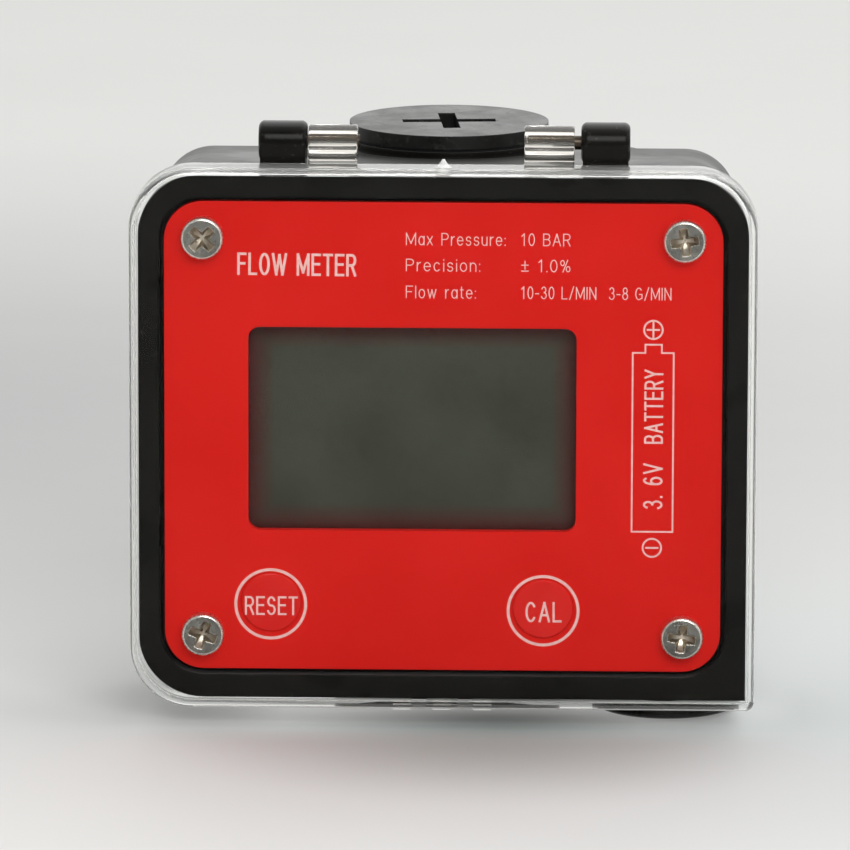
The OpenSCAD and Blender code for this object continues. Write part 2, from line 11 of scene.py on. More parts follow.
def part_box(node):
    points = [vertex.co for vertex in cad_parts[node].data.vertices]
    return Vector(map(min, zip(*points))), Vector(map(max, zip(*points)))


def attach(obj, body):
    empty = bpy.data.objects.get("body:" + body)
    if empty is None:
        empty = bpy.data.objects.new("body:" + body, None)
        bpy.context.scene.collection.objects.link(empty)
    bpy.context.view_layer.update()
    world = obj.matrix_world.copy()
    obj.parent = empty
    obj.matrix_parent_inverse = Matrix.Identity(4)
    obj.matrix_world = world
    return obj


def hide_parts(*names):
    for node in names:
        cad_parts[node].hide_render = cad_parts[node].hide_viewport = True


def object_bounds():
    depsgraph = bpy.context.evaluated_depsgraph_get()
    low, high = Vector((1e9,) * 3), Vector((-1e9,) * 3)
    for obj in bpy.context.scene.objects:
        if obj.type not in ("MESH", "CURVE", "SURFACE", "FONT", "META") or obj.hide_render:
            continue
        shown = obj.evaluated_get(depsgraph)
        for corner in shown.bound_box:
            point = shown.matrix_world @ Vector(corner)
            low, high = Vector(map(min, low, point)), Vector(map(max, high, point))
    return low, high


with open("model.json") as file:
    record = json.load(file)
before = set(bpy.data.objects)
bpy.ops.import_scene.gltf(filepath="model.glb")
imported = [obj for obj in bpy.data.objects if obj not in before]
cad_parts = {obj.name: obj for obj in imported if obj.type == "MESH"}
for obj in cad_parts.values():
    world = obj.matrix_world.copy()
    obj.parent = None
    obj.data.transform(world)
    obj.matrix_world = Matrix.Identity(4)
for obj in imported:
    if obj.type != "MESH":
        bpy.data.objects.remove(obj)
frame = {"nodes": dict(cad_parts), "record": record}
CAD_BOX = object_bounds()
NODES = frame["nodes"]
MM = 0.001

# ---- places, from the frame ----

PANEL_LO, PANEL_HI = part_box("face_panel")
PANEL_MID = (PANEL_LO + PANEL_HI) / 2
RESET_FACE_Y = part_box("reset_button")[0].y
CAL_FACE_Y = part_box("cal_button")[0].y
PLUG_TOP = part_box("port_plug")[1].z
PLUG_FLANGE = 2.1 * MM
THREAD_PITCH = 1.814 * MM
INK = 0.012 * MM
BUTTON_R = 4.3
HINGE_LO, HINGE_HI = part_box("hinge_pin_right")
AXIS = (HINGE_LO + HINGE_HI) / 2


# ---- node helpers ----

def material(name):
    """A material with one Principled shader, as (material, tree, shader)."""
    made = bpy.data.materials.new(name)
    made.use_nodes = True
    tree = made.node_tree
    return made, tree, tree.nodes["Principled BSDF"]


def node(tree, kind, inputs=None, **settings):
    """Adds a node; inputs are plain values or sockets to link."""
    made = tree.nodes.new(kind)
    for key, value in settings.items():
        setattr(made, key, value)
    for key, value in (inputs or {}).items():
        if isinstance(value, bpy.types.NodeSocket):
            tree.links.new(value, made.inputs[key])
        else:
            made.inputs[key].default_value = value
    return made


def place(tree):
    return node(tree, "ShaderNodeTexCoord").outputs["Object"]


def place_along(tree, axis):
    """The place along one axis, X, Y or Z, in metres."""
    return node(tree, "ShaderNodeSeparateXYZ", {0: place(tree)}).outputs[axis]


def noise(tree, scale, detail=3.0, roughness=0.55, stretch=None, distortion=0.0):
    """Noise in the piece's own space, 0 to 1. scale is features per metre."""
    where = place(tree)
    if stretch:
        where = node(tree, "ShaderNodeMapping", {"Vector": where, "Scale": stretch}).outputs[0]
    made = node(tree, "ShaderNodeTexNoise", {"Vector": where, "Scale": scale, "Detail": detail,
                "Roughness": roughness, "Distortion": distortion})
    return made.outputs["Fac"]


def spread(tree, value, low, high, out_low=0.0, out_high=1.0):
    """Maps value from low..high to out_low..out_high, clamped."""
    made = node(tree, "ShaderNodeMapRange", {"Value": value, "From Min": low, "From Max": high,
                "To Min": out_low, "To Max": out_high})
    return made.outputs["Result"]


def math_node(tree, operation, a, b):
    return node(tree, "ShaderNodeMath", {0: a, 1: b}, operation=operation).outputs[0]


def blend_colour(tree, factor, a, b):
    """Colour a where factor is 0 and b where it is 1."""
    made = node(tree, "ShaderNodeMix", data_type="RGBA")
    for socket, value in ((0, factor), (6, a), (7, b)):
        if isinstance(value, bpy.types.NodeSocket):
            tree.links.new(value, made.inputs[socket])
        else:
            made.inputs[socket].default_value = value if socket == 0 else (*value, 1)
    return made.outputs[2]


def bump(tree, shader, height, distance, radius=0.0):
    """Bump on the shader, over edges rounded by radius."""
    settings = {"Height": height, "Distance": distance}
    made = node(tree, "ShaderNodeBump", settings)
    if radius:
        edge = node(tree, "ShaderNodeBevel", {"Radius": radius}, samples=4)
        tree.links.new(edge.outputs[0], made.inputs["Normal"])
    tree.links.new(made.outputs[0], shader.inputs["Normal"])


def finish_coat(tree, shader, colours, roughs, patch, grain, depth, radius=0.25 * MM):
    """The usual finish: two shades in patches, roughness between two values, and a fine grain."""
    patches = noise(tree, patch, 4)
    fine = noise(tree, grain, 2)
    shade = blend_colour(tree, spread(tree, patches, 0.35, 0.65), *colours)
    tree.links.new(shade, shader.inputs["Base Color"])
    broad = math_node(tree, "MULTIPLY", patches, 0.6)
    mixed = math_node(tree, "ADD", broad, math_node(tree, "MULTIPLY", fine, 0.4))
    tree.links.new(spread(tree, mixed, 0.35, 0.65, *roughs), shader.inputs["Roughness"])
    bump(tree, shader, fine, depth, radius=radius)


# ---- materials ----

def facing_up(tree):
    """The upward part of the surface's normal, 1 on a level top."""
    normal = node(tree, "ShaderNodeNewGeometry").outputs["Normal"]
    return node(tree, "ShaderNodeSeparateXYZ", {0: normal}).outputs["Z"]


def specks(tree, size, amount):
    """1 on scattered specks and 0 elsewhere; a lower amount gives more of them."""
    return spread(tree, noise(tree, size, 2, 0.4), amount, amount + 0.06)


def housing_black():
    """Black plastic with dust on it, smoother on the hinge knuckles, and greyer on level tops, as dust and
    as painted light from above.
    """
    made, tree, shader = material("housing_black")
    patches, fine = noise(tree, 90, 4), noise(tree, 5200, 2)
    share = spread(tree, patches, 0.35, 0.65)
    base = blend_colour(tree, share, (0.0036, 0.0033, 0.0026), (0.007, 0.0064, 0.0052))
    cover = spread(tree, patches, 0.4, 0.7, 0.3, 1.0)
    dust = math_node(tree, "MULTIPLY", specks(tree, 1500, 0.65), cover)
    dusty = blend_colour(tree, dust, base, (0.032, 0.031, 0.027))
    knuckle = spread(tree, place_along(tree, "Z"), AXIS.z - 3 * MM, AXIS.z - 2 * MM)
    up = facing_up(tree)
    below = spread(tree, knuckle, 0, 1, 1, 0)
    # Level tops below the knuckles turn greyer: settled dust together with painted light from above,
    # standing for the light the tops catch.
    dust_and_painted_top_light = math_node(tree, "MULTIPLY", spread(tree, up, 0.7, 0.95), below)
    shade = blend_colour(tree, dust_and_painted_top_light, dusty, (0.045, 0.045, 0.043))
    tree.links.new(shade, shader.inputs["Base Color"])
    knuckle_gloss = spread(tree, knuckle, 0, 1, 0.08, 0.1)
    top_gloss = spread(tree, up, 0.5, 0.9, 0.08, 0.44)
    gloss = math_node(tree, "MAXIMUM", knuckle_gloss, top_gloss)
    tree.links.new(gloss, shader.inputs["Specular IOR Level"])
    worn = spread(tree, patches, 0.35, 0.65, 0.24, 0.38)
    level = math_node(tree, "MULTIPLY", worn, spread(tree, up, 0.5, 0.9, 1.0, 1.25))
    rough = math_node(tree, "MULTIPLY", level, spread(tree, knuckle, 0, 1, 1.0, 0.45))
    tree.links.new(rough, shader.inputs["Roughness"])
    bump(tree, shader, fine, 0.005 * MM, radius=0.45 * MM)
    return made


def cap_black():
    """Black moulded caps, scuffed, with the plug's thread below its flange."""
    made, tree, shader = material("cap_black")
    gloss = spread(tree, facing_up(tree), 0.5, 0.9, 0.22, 0.54)
    tree.links.new(gloss, shader.inputs["Specular IOR Level"])
    patches, fine = noise(tree, 160, 4), noise(tree, 4200, 2)
    scuffs = spread(tree, noise(tree, 420, 5, 0.7, distortion=1.5), 0.55, 0.68)
    share = spread(tree, patches, 0.35, 0.65)
    base = blend_colour(tree, share, (0.0075, 0.0072, 0.0066), (0.016, 0.0155, 0.0148))
    shade = blend_colour(tree, scuffs, base, (0.03, 0.03, 0.029))
    tree.links.new(shade, shader.inputs["Base Color"])
    worn = spread(tree, patches, 0.35, 0.65, 0.25, 0.4)
    rough = math_node(tree, "ADD", worn, math_node(tree, "MULTIPLY", scuffs, 0.12))
    tree.links.new(rough, shader.inputs["Roughness"])
    spot = node(tree, "ShaderNodeSeparateXYZ", {0: place(tree)}).outputs
    turn = math_node(tree, "ARCTAN2", spot["Y"], spot["X"])
    climb = math_node(tree, "MULTIPLY", spot["Z"], 2 * math.pi / THREAD_PITCH)
    wave = math_node(tree, "SINE", math_node(tree, "ADD", climb, turn), 0)
    under = PLUG_TOP - PLUG_FLANGE
    neck = spread(tree, spot["Z"], under - 0.2 * MM, under, 1.0, 0.0)
    thread = math_node(tree, "MULTIPLY", math_node(tree, "MULTIPLY", wave, neck), 30.0)
    bump(tree, shader, math_node(tree, "ADD", fine, thread), 0.008 * MM, radius=0.25 * MM)
    return made


def panel_red():
    made, tree, shader = material("panel_red")
    shader.inputs["Specular IOR Level"].default_value = 0.05
    colours = ((0.66, 0.0095, 0.006), (0.70, 0.013, 0.009))
    finish_coat(tree, shader, colours, (0.3, 0.42), 60, 3500, 0.004 * MM, 0.15 * MM)
    return made


def button_red():
    made, tree, shader = material("button_red")
    shader.inputs["Specular IOR Level"].default_value = 0.12
    colours = ((0.66, 0.011, 0.008), (0.70, 0.016, 0.012))
    finish_coat(tree, shader, colours, (0.1, 0.2), 200, 3500, 0.004 * MM, 0.15 * MM)
    return made


def print_white():
    made, tree, shader = material("print_white")
    shader.inputs["Specular IOR Level"].default_value = 0.2
    colours = ((0.80, 0.44, 0.41), (0.88, 0.56, 0.53))
    finish_coat(tree, shader, colours, (0.4, 0.55), 1500, 9000, 0.002 * MM, 0)
    return made


def plain_plastic(name, colours, roughs=(0.35, 0.5), level=0.5):
    made, tree, shader = material(name)
    shader.inputs["Specular IOR Level"].default_value = level
    finish_coat(tree, shader, colours, roughs, 260, 6000, 0.006 * MM)
    return made


EVEN = (1, 1, 1)


def metal(name, colours, roughs=(0.18, 0.34), grain=2500, stretch=(1, 1, 12)):
    """Metal with fine drawn lines."""
    made, tree, shader = material(name)
    shader.inputs["Metallic"].default_value = 1.0
    patches, lines = noise(tree, 420, 4), noise(tree, grain, 3, 0.6, stretch)
    shade = blend_colour(tree, spread(tree, patches, 0.3, 0.7), *colours)
    tree.links.new(shade, shader.inputs["Base Color"])
    tree.links.new(spread(tree, lines, 0.3, 0.7, *roughs), shader.inputs["Roughness"])
    bump(tree, shader, lines, 0.004 * MM, radius=0.15 * MM)
    return made


def near_edge(tree, low, high, margin):
    """1 at the edges of a box seen from the front and 0 further in than margin, by place."""
    spot = node(tree, "ShaderNodeSeparateXYZ", {0: place(tree)})
    found = None
    for axis, a, b in (("X", low.x, high.x), ("Z", low.z, high.z)):
        off = math_node(tree, "ABSOLUTE", math_node(tree, "SUBTRACT", spot.outputs[axis], (a + b) / 2), 0)
        share = spread(tree, off, (b - a) / 2 - margin, (b - a) / 2)
        found = share if found is None else math_node(tree, "MAXIMUM", found, share)
    return found


def lcd_panel():
    """A blank liquid-crystal glass: grey-green and cloudy, with a painted reflection of the red panel
    along its edges.
    """
    made, tree, shader = material("lcd_panel")
    shader.inputs["Specular IOR Level"].default_value = 0.1
    cloud = spread(tree, noise(tree, 75, 2, 0.5), 0.3, 0.72)
    base = blend_colour(tree, cloud, (0.050, 0.050, 0.037), (0.075, 0.075, 0.058))
    low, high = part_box("lcd_glass")
    inset = Vector((2, 0, 2)) * MM
    # Painted reflection: the glass turns dark red near its edges, standing for the red panel reflected
    # there.
    painted_red_reflection = near_edge(tree, low + inset, high - inset, 3.2 * MM)
    shade = blend_colour(tree, painted_red_reflection, base, (0.088, 0.020, 0.018))
    tree.links.new(shade, shader.inputs["Base Color"])
    tree.links.new(spread(tree, noise(tree, 900, 3), 0.3, 0.7, 0.22, 0.36), shader.inputs["Roughness"])
    bump(tree, shader, noise(tree, 400, 2), 0.003 * MM)
    return made


def clear_glass(name, tint, roughs, level=0.06, haze=0.0, grain=500, depth=0.002 * MM):
    """See-through plastic that lets lamps and bounced light straight through."""
    made, tree, shader = material(name)
    shader.inputs["Transmission Weight"].default_value = 1.0 - haze
    shader.inputs["IOR"].default_value = 1.49
    shader.inputs["Base Color"].default_value = (*tint, 1)
    shader.inputs["Specular Tint"].default_value = (level, level, level, 1)
    smear = noise(tree, 160, 4, 0.6)
    tree.links.new(spread(tree, smear, 0.45, 0.8, *roughs), shader.inputs["Roughness"])
    bump(tree, shader, noise(tree, grain, 2), depth)
    path = node(tree, "ShaderNodeLightPath")
    passing = math_node(tree, "MAXIMUM", path.outputs["Is Shadow Ray"], path.outputs["Is Diffuse Ray"])
    through = node(tree, "ShaderNodeBsdfTransparent", {"Color": (*tint, 1)})
    mixed = node(tree, "ShaderNodeMixShader", {0: passing, 1: shader.outputs[0], 2: through.outputs[0]})
    tree.links.new(mixed.outputs[0], tree.nodes["Material Output"].inputs["Surface"])
    return made


def board_green():
    made, tree, shader = material("board_green")
    colours = ((0.012, 0.075, 0.030), (0.020, 0.110, 0.045))
    finish_coat(tree, shader, colours, (0.25, 0.4), 300, 2500, 0.02 * MM)
    return made


MATERIALS = {
    "housing_black": housing_black(),
    "panel_red": panel_red(),
    "button_red": button_red(),
    "print_white": print_white(),
    # The screws' steel is darkened for the flat face, a painted dark reflection; the bright edge metal
    # below is a painted highlight.
    "screw_steel": metal("screw_steel", ((0.12, 0.118, 0.108), (0.25, 0.243, 0.222)),
                         (0.24, 0.4), 3500, EVEN),
    "screw_painted_highlight": metal("screw_painted_highlight", ((0.62, 0.58, 0.52), (0.86, 0.83, 0.77)),
                        (0.2, 0.35), 3500, EVEN),
    "screw_recess": metal("screw_recess", ((0.24, 0.20, 0.155), (0.62, 0.56, 0.47)),
                          (0.25, 0.4), 1600, EVEN),
    "window_pane": clear_glass("window_pane", (0.93, 0.95, 0.94), (0.05, 0.12)),
    "lcd_panel": lcd_panel(),
    "frame_white": plain_plastic("frame_white", ((0.62, 0.60, 0.56), (0.72, 0.70, 0.66))),
    "zebra_rubber": plain_plastic("zebra_rubber", ((0.52, 0.20, 0.26), (0.60, 0.27, 0.33)), (0.5, 0.7)),
    "board_green": board_green(),
    "chip_black": plain_plastic("chip_black", ((0.012, 0.012, 0.012), (0.022, 0.022, 0.022)), (0.4, 0.6)),
    "sensor_glass": plain_plastic("sensor_glass", ((0.28, 0.33, 0.26), (0.36, 0.41, 0.33)), (0.1, 0.2)),
    "clear_plastic": clear_glass("clear_plastic", (0.985, 0.99, 0.985), (0.01, 0.06)),
    "clear_edge": clear_glass("clear_edge", (0.95, 0.955, 0.94), (0.03, 0.14), 0.4, 0.09),
    "clear_knuckle": clear_glass("clear_knuckle", (0.88, 0.85, 0.80), (0.01, 0.05), 0.6, 0.02),
    "clear_gate": clear_glass("clear_gate", (0.97, 0.97, 0.96), (0.2, 0.3), 0.8, 0.6),
    # The pin's brass is darkened to a deep brown: painted shade for the shadow it sits in between the
    # knuckles.
    "pin_brass": metal("pin_brass", ((0.05, 0.038, 0.03), (0.1, 0.08, 0.06)),
                       (0.25, 0.4), stretch=(12, 1, 1)),
    "cell_sleeve": plain_plastic("cell_sleeve", ((0.03, 0.13, 0.055), (0.05, 0.18, 0.08)), (0.2, 0.35)),
    "spring_steel": metal("spring_steel", ((0.48, 0.47, 0.45), (0.62, 0.61, 0.58))),
    "seal_rubber": plain_plastic("seal_rubber", ((0.010, 0.010, 0.010), (0.018, 0.018, 0.018)),
                                 (0.55, 0.75), 0.3),
    "cap_black": cap_black(),
    "ring_steel": metal("ring_steel", ((0.42, 0.42, 0.41), (0.56, 0.56, 0.55))),
    "strainer_white": plain_plastic("strainer_white", ((0.58, 0.56, 0.50), (0.68, 0.66, 0.61))),
    "cartridge_grey": plain_plastic("cartridge_grey", ((0.045, 0.045, 0.044), (0.085, 0.083, 0.08))),
    "bearing_bronze": metal("bearing_bronze", ((0.33, 0.20, 0.08), (0.44, 0.28, 0.13))),
    "rotor_white": plain_plastic("rotor_white", ((0.66, 0.65, 0.60), (0.76, 0.75, 0.71)), (0.3, 0.45)),
    "magnet_grey": plain_plastic("magnet_grey", ((0.14, 0.14, 0.145), (0.22, 0.22, 0.225)), (0.3, 0.5)),
}
SLOT_OF_NODE = {part["node"]: part["material_slot"] for part in frame["record"]["subparts"]}


def dress_cad_nodes():
    """Each CAD node gets the procedural material of its slot."""
    for name, piece in NODES.items():
        piece.data.materials.clear()
        piece.data.materials.append(MATERIALS[SLOT_OF_NODE[name]])


# ---- printing ----

def finish_piece(piece, material_name, body):
    piece.data.materials.clear()
    piece.data.materials.append(MATERIALS[material_name])
    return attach(piece, body)


def mesh_piece(name, vertices, faces):
    mesh = bpy.data.meshes.new(name)
    mesh.from_pydata([tuple(v) for v in vertices], [], faces)
    mesh.update()
    piece = bpy.data.objects.new(name, mesh)
    bpy.context.scene.collection.objects.link(piece)
    return piece


def on_face(x, z, y):
    """A point on the face from x, z in millimetres from the panel's centre."""
    return Vector((PANEL_MID.x + x * MM, y, PANEL_MID.z + z * MM))


def band(name, loops, y):
    """A flat closed band between an outer and an inner loop of (x, z) points, INK thick on depth y."""
    count = len(loops[0])
    vertices = [on_face(x, z, y - lift) for lift in (INK, 0) for loop in loops for x, z in loop]
    faces = []
    for i in range(count):
        j = (i + 1) % count
        outer, inner, deep_outer, deep_inner = (k * count for k in range(4))
        faces.append((outer + i, outer + j, inner + j, inner + i))
        faces.append((outer + i, deep_outer + i, deep_outer + j, outer + j))
        faces.append((inner + j, deep_inner + j, deep_inner + i, inner + i))
    return mesh_piece(name, vertices, faces)


def circle_points(x, z, radius, count=96):
    """Points around a circle, in the units of its arguments."""
    return [(x + radius * math.cos(a), z + radius * math.sin(a))
            for a in (2 * math.pi * i / count for i in range(count))]


def ring(name, x, z, radius, line, y, body):
    loops = [circle_points(x, z, radius + line / 2), circle_points(x, z, radius - line / 2)]
    return finish_piece(band(name, loops, y), "print_white", body)


def shifted(points, amount):
    """A closed outline of right angles moved outwards by amount. Points run anticlockwise."""
    moved = []
    for i, (x, z) in enumerate(points):
        before, after = points[i - 1], points[(i + 1) % len(points)]
        into = Vector((x - before[0], z - before[1])).normalized()
        out = Vector((after[0] - x, after[1] - z)).normalized()
        side = Vector((into.y, -into.x)) + Vector((out.y, -out.x))
        moved.append((x + side.x * amount, z + side.y * amount))
    return moved


def bar(name, x, z, width, height, y, body):
    w, h = width / 2, height / 2
    corners = [(x - w, z - h), (x + w, z - h), (x + w, z + h), (x - w, z + h)]
    vertices = [on_face(a, b, y - lift) for lift in (INK, 0) for a, b in corners]
    faces = [(0, 1, 2, 3)] + [(i, i + 4, (i + 1) % 4 + 4, (i + 1) % 4) for i in range(4)]
    return finish_piece(mesh_piece(name, vertices, faces), "print_white", body)


def arc(x, z, across, up, start, end, count=18):
    """Points on an ellipse from one angle to another, in degrees."""
    angles = [math.radians(start + (end - start) * i / count) for i in range(count + 1)]
    return [(x + across * math.cos(a), z + up * math.sin(a)) for a in angles]


def bowl(x, z, across, up):
    return arc(x, z, across, up, 90, -90, 12)


# Each letter is (width, strokes), in heights of a capital; a stroke's points cross the width from 0 to 1.
GLYPHS = {
    "A": (0.56, [[(0, 0), (0.5, 1), (1, 0)], [(0.18, 0.33), (0.82, 0.33)]]),
    "B": (0.5, [[(0, 0), (0, 1), (0.55, 1)] + bowl(0.55, 0.765, 0.38, 0.235) + [(0, 0.53)],
                [(0.55, 0.53)] + bowl(0.55, 0.265, 0.45, 0.265) + [(0, 0)]]),
    "C": (0.52, [arc(0.5, 0.5, 0.5, 0.5, 40, 320)]),
    "E": (0.46, [[(1, 1), (0, 1), (0, 0), (1, 0)], [(0, 0.53), (0.9, 0.53)]]),
    "F": (0.44, [[(1, 1), (0, 1), (0, 0)], [(0, 0.52), (0.85, 0.52)]]),
    "G": (0.54, [arc(0.5, 0.5, 0.5, 0.5, 42, 300) + [(1, 0.12), (1, 0.45), (0.6, 0.45)]]),
    "I": (0.0, [[(0, 0), (0, 1)]]),
    "L": (0.42, [[(0, 1), (0, 0), (1, 0)]]),
    "M": (0.68, [[(0, 0), (0, 1), (0.5, 0.12), (1, 1), (1, 0)]]),
    "N": (0.52, [[(0, 0), (0, 1), (1, 0), (1, 1)]]),
    "O": (0.54, [arc(0.5, 0.5, 0.5, 0.5, 90, 450, 30)]),
    "P": (0.46, [[(0, 0), (0, 1), (0.55, 1)] + bowl(0.55, 0.74, 0.45, 0.26) + [(0, 0.48)]]),
    "R": (0.5, [[(0, 0), (0, 1), (0.58, 1)] + bowl(0.58, 0.745, 0.4, 0.255) + [(0, 0.49)],
                [(0.55, 0.49), (1, 0)]]),
    "S": (0.48, [arc(0.5, 0.75, 0.44, 0.25, 20, 255, 14) + arc(0.5, 0.26, 0.48, 0.26, 80, -160, 14)]),
    "T": (0.5, [[(0, 1), (1, 1)], [(0.5, 1), (0.5, 0)]]),
    "V": (0.54, [[(0, 1), (0.5, 0), (1, 1)]]),
    "W": (0.84, [[(0, 1), (0.26, 0), (0.5, 0.95), (0.74, 0), (1, 1)]]),
    "Y": (0.52, [[(0, 1), (0.5, 0.45), (1, 1)], [(0.5, 0.45), (0.5, 0)]]),
    "a": (0.38, [arc(0.5, 0.36, 0.5, 0.36, 20, 340), [(1, 0.72), (1, 0)]]),
    "c": (0.38, [arc(0.5, 0.36, 0.5, 0.36, 45, 315)]),
    "e": (0.4, [[(0.02, 0.38), (1, 0.38)] + arc(0.5, 0.36, 0.5, 0.36, 5, 318)]),
    "i": (0.0, [[(0, 0), (0, 0.68)], [(0, 0.94), (0, 0.97)]]),
    "l": (0.0, [[(0, 0), (0, 1)]]),
    "n": (0.36, [[(0, 0), (0, 0.72)], arc(0.5, 0.42, 0.5, 0.3, 170, 0) + [(1, 0)]]),
    "o": (0.4, [arc(0.5, 0.36, 0.5, 0.36, 90, 450, 24)]),
    "r": (0.2, [[(0, 0), (0, 0.72)], [(0, 0.42), (0.35, 0.66), (1, 0.72)]]),
    "s": (0.34, [arc(0.5, 0.54, 0.45, 0.18, 20, 255, 12) + arc(0.5, 0.19, 0.48, 0.19, 80, -160, 12)]),
    "t": (0.2, [[(0.4, 0.95), (0.4, 0.1), (1, 0)], [(0, 0.72), (1, 0.72)]]),
    "u": (0.36, [[(0, 0.72), (0, 0.28)] + arc(0.5, 0.28, 0.5, 0.28, 180, 340), [(1, 0.72), (1, 0)]]),
    "w": (0.58, [[(0, 0.72), (0.26, 0), (0.5, 0.7), (0.74, 0), (1, 0.72)]]),
    "x": (0.36, [[(0, 0.72), (1, 0)], [(1, 0.72), (0, 0)]]),
    "0": (0.42, [arc(0.5, 0.5, 0.5, 0.5, 90, 450, 30)]),
    "1": (0.3, [[(0, 0.8), (0.6, 1), (0.6, 0)]]),
    "3": (0.42, [arc(0.5, 0.76, 0.42, 0.24, 160, -80, 14) + arc(0.5, 0.27, 0.5, 0.27, 80, -160, 14)]),
    "6": (0.42, [arc(0.5, 0.3, 0.48, 0.3, 0, 360, 24), arc(0.55, 0.42, 0.53, 0.58, 60, 195, 14)]),
    "8": (0.42, [arc(0.5, 0.76, 0.4, 0.24, -90, 270, 22), arc(0.5, 0.26, 0.5, 0.26, 90, 450, 24)]),
    ".": (0.0, [[(0, 0), (0, 0.02)]]),
    ":": (0.0, [[(0, 0.02), (0, 0.05)], [(0, 0.6), (0, 0.63)]]),
    "-": (0.26, [[(0, 0.42), (1, 0.42)]]),
    "/": (0.34, [[(0, -0.05), (1, 1.05)]]),
    "%": (0.62, [arc(0.2, 0.76, 0.2, 0.22, 0, 360, 16), arc(0.8, 0.24, 0.2, 0.22, 0, 360, 16),
                 [(0.25, 0), (0.75, 1)]]),
    "±": (0.42, [[(0, 0.55), (1, 0.55)], [(0.5, 0.22), (0.5, 0.88)], [(0, 0.04), (1, 0.04)]]),
    " ": (0.22, []),
}
LETTER_GAP = 0.15


def written(words, gap):
    """Strokes of the words, in heights of a capital, and the line's width."""
    strokes, x = [], 0.0
    for letter in words:
        wide, shapes = GLYPHS[letter]
        strokes += [[(x + a * wide, b) for a, b in shape] for shape in shapes]
        x += wide + gap
    return strokes, x - gap


def unfolded(stroke):
    """The stroke without repeated points, cut wherever it turns back sharply."""
    stroke = stroke[:1] + [b for a, b in zip(stroke, stroke[1:]) if math.dist(a, b) > 1e-6]
    parts, part = [], [stroke[0]]
    for before, spot, after in zip(stroke, stroke[1:], stroke[2:]):
        part.append(spot)
        into, out = Vector(spot) - Vector(before), Vector(after) - Vector(spot)
        if into.angle(out) > math.radians(95):
            parts.append(part)
            part = [spot]
    return parts + [part + [stroke[-1]]]


def ribbon(points, line):
    """Left and right edges of a line of even width through points."""
    closed = (Vector(points[0]) - Vector(points[-1])).length < line * 0.1
    spots = [Vector(p) for p in (points[:-1] if closed else points)]
    if not closed:
        spots[0] += (spots[0] - spots[1]).normalized() * line / 2
        spots[-1] += (spots[-1] - spots[-2]).normalized() * line / 2
    count, left, right = len(spots), [], []
    for i, spot in enumerate(spots):
        before = spots[i - 1] if closed or i else spot * 2 - spots[1]
        after = spots[(i + 1) % count] if closed or i < count - 1 else spot * 2 - spots[-2]
        into, out = (spot - before).normalized(), (after - spot).normalized()
        side = Vector((-into.y - out.y, into.x + out.x)).normalized()
        reach = line / 2 / max(0.6, side.dot(Vector((-into.y, into.x))))
        left.append(spot + side * reach)
        right.append(spot - side * reach)
    return left, right, closed


def label(name, words, x, z, width, height, line, body="housing", y=None, turn=0.0):
    """Printed words, in millimetres: x, z is their lower left corner and height is a capital's."""
    y = PANEL_LO.y if y is None else y
    strokes, long = written(words, LETTER_GAP + 1.2 * line / height)
    wide, tall = (width - line) / long, height - line
    placed = [[(line / 2 + a * wide, line / 2 + b * tall) for a, b in stroke] for stroke in strokes]
    vertices, faces = [], []
    for k, stroke in enumerate(part for whole in placed for part in unfolded(whole)):
        left, right, closed = ribbon(stroke, line)
        first, count = len(vertices), len(left)
        for i, pair in enumerate(zip(left, right)):
            lift = INK * (1 + 0.03 * (k % 5) + 0.02 * i / count)
            vertices += [Vector((p.x * MM, -lift, p.y * MM)) for p in pair]
        for i in range(count if closed else count - 1):
            a, b = first + 2 * i, first + 2 * ((i + 1) % count)
            faces.append((a, a + 1, b + 1, b))
    around = Matrix.Rotation(math.radians(turn), 4, "Y")
    piece = mesh_piece(name, [around @ v + on_face(x, z, y) for v in vertices], faces)
    return finish_piece(piece, "print_white", body)


def print_title():
    label("title", "FLOW METER", -29.4, 23.4, 17.0, 3.25, 0.37, turn=0.45)


def print_specification():
    rows = (("Max Pressure:", 14.2, 27.87, "10 BAR", 7.0),
            ("Precision:", 10.6, 24.1, "± 1.0%", 7.0),
            ("Flow rate:", 10.0, 20.2, "10-30 L/MIN  3-8 G/MIN", 21.4))
    label_x, value_x, height, line, turn = -5.35, 11.1, 1.82, 0.145, 0.2
    for i, (words, wide, z, value, value_wide) in enumerate(rows):
        label(f"spec_label_{i}", words, label_x, z, wide, height, line, turn=turn)
        label(f"spec_value_{i}", value, value_x, z, value_wide, height, line, turn=turn)


def print_battery():
    low, high, left, right = -13.55, 12.5, 27.05, 32.9
    nub_left, nub_right, nub_top = 28.85, 31.2, 13.7
    outline = [(left, low), (right, low), (right, high), (nub_right, high), (nub_right, nub_top),
               (nub_left, nub_top), (nub_left, high), (left, high)]
    loops = [shifted(outline, 0.12), shifted(outline, -0.12)]
    finish_piece(band("battery_outline", loops, PANEL_LO.y), "print_white", "housing")
    x, line, plus_z, minus_z = (left + right) / 2, 0.26, 15.85, -15.9
    for name, z in (("plus", plus_z), ("minus", minus_z)):
        ring(f"{name}_ring", x, z, 1.32, line, PANEL_LO.y, "housing")
        bar(f"{name}_bar", x, z, 1.9, line, PANEL_LO.y - INK / 2, "housing")
    bar("plus_upright", x, plus_z, line, 2.4, PANEL_LO.y, "housing")
    label("battery_volts", "3. 6V", 31.45, -10.25, 6.7, 2.8, 0.3, turn=-90)
    label("battery_word", "BATTERY", 31.45, -0.7, 10.8, 2.7, 0.3, turn=-90)


def gap_filler(name, key):
    """The thin edge of the membrane between a button and its hole in the panel."""
    low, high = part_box(key)
    centre, radius = (low + high) / 2, BUTTON_R
    x, z = (centre.x - PANEL_MID.x) / MM, (centre.z - PANEL_MID.z) / MM
    loops = [circle_points(x, z, radius + 0.09), circle_points(x, z, radius + 0.01)]
    return finish_piece(band(name, loops, PANEL_LO.y + 0.03 * MM), "panel_red", "housing")


